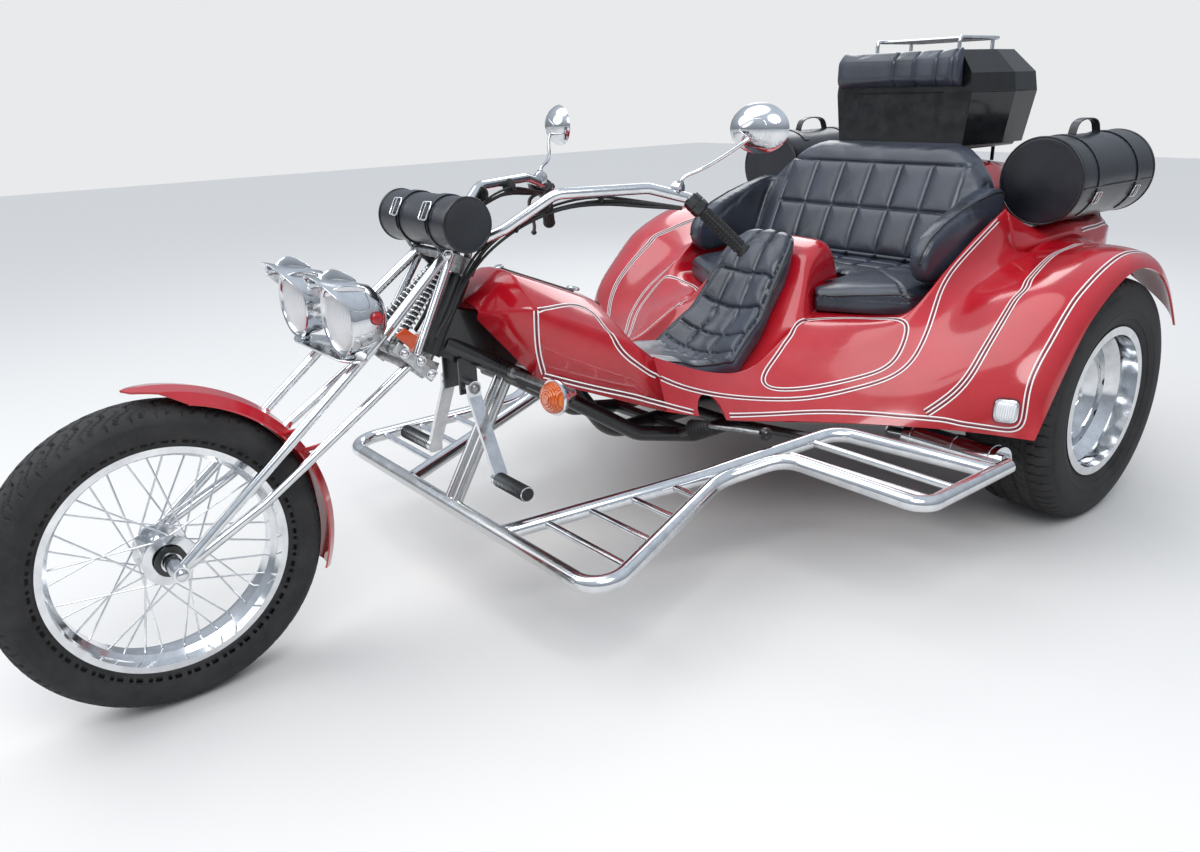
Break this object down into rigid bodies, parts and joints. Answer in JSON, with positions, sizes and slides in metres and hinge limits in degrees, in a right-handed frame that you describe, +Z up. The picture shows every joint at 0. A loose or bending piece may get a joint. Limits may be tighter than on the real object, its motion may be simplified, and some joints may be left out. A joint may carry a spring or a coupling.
{
  "type": "motorized trike",
  "caption": "Three-wheeled motor trike with a girder fork, a glass-fibre body with rider's seat and rear bench, tube footboards, side bags and a hinged top box.",
  "frame": {"origin": "On the floor, under the middle of the trike's length and width", "axes": "+X points forward along the length, +Y to the rider's left, +Z up from the floor"},
  "size_m": [3.153, 1.7672, 1.306],
  "materials": {
    "body_red": "gloss red glass-fibre body with white pinstripes",
    "tyre": "worn black rubber",
    "chrome": "polished chrome",
    "iron": "dull cast iron",
    "frame_black": "gloss black paint",
    "alloy": "dull grey alloy",
    "steel": "plain steel",
    "rubber": "black rubber",
    "leather_black": "black leather, stitched and piped",
    "gloss_black": "gloss black",
    "lamp_orange": "orange lens",
    "lamp_clear": "clear lens",
    "lamp_red": "red lens"
  },
  "bodies": {
    "chassis": {"nose_shell": "body_red", "rider_tub": "body_red", "rear_body": "body_red", "fender_left": "body_red", "fender_right": "body_red", "tail_shell": "body_red", "chassis_frame": "frame_black", "gearbox": "alloy", "engine": "alloy", "rear_axles": "frame_black", "exhausts": "chrome", "front_crossbar": "chrome", "footboards": "chrome", "foot_pedals": "chrome", "gear_lever": "rubber", "rider_seat": "leather_black", "bench_base": "leather_black", "bench_back": "leather_black", "top_box_base": "gloss_black", "box_carrier": "frame_black", "side_bags": "leather_black", "front_indicators": "lamp_orange", "side_lamps": "lamp_clear", "tail_lamps": "lamp_red", "plate_carrier": "frame_black"},
    "fork": {"steering_stem": "steel", "fork_blades": "chrome", "fork_links": "alloy", "fork_springs": "chrome", "handlebar": "chrome", "grips": "rubber", "bar_cables": "rubber", "mirrors": "chrome", "headlamps": "chrome", "tool_roll": "leather_black", "front_fender": "body_red"},
    "front_wheel": {"front_tyre": "tyre", "front_wheel": "chrome"},
    "rear_wheel_left": {"rear_tyre_left": "tyre", "rear_rim_left": "chrome", "rear_drum_left": "iron"},
    "rear_wheel_right": {"rear_tyre_right": "tyre", "rear_rim_right": "chrome", "rear_drum_right": "iron"},
    "top_box_lid": {"top_box_lid": "gloss_black", "lid_pad": "leather_black", "lid_rack": "chrome"}
  },
  "joints": [
    {"name": "steering", "type": "hinge", "parent": "chassis", "child": "fork", "pos_m": [0.5785, 0, 0.7], "axis": [-0.5, 0, 0.866], "range_deg": [-35, 35]},
    {"name": "front_wheel_spin", "type": "hinge", "parent": "fork", "child": "front_wheel", "pos_m": [1.2565, 0, 0.32], "axis": [0, 1, 0], "continuous": true},
    {"name": "rear_wheel_left_spin", "type": "hinge", "parent": "chassis", "child": "rear_wheel_left", "pos_m": [-0.9665, 0.735, 0.3375], "axis": [0, 1, 0], "continuous": true},
    {"name": "rear_wheel_right_spin", "type": "hinge", "parent": "chassis", "child": "rear_wheel_right", "pos_m": [-0.9665, -0.735, 0.3375], "axis": [0, 1, 0], "continuous": true},
    {"name": "lid_hinge", "type": "hinge", "parent": "chassis", "child": "top_box_lid", "pos_m": [-1.1445, 0, 1.138], "axis": [0, 1, 0], "range_deg": [0, 80]}
  ]
}
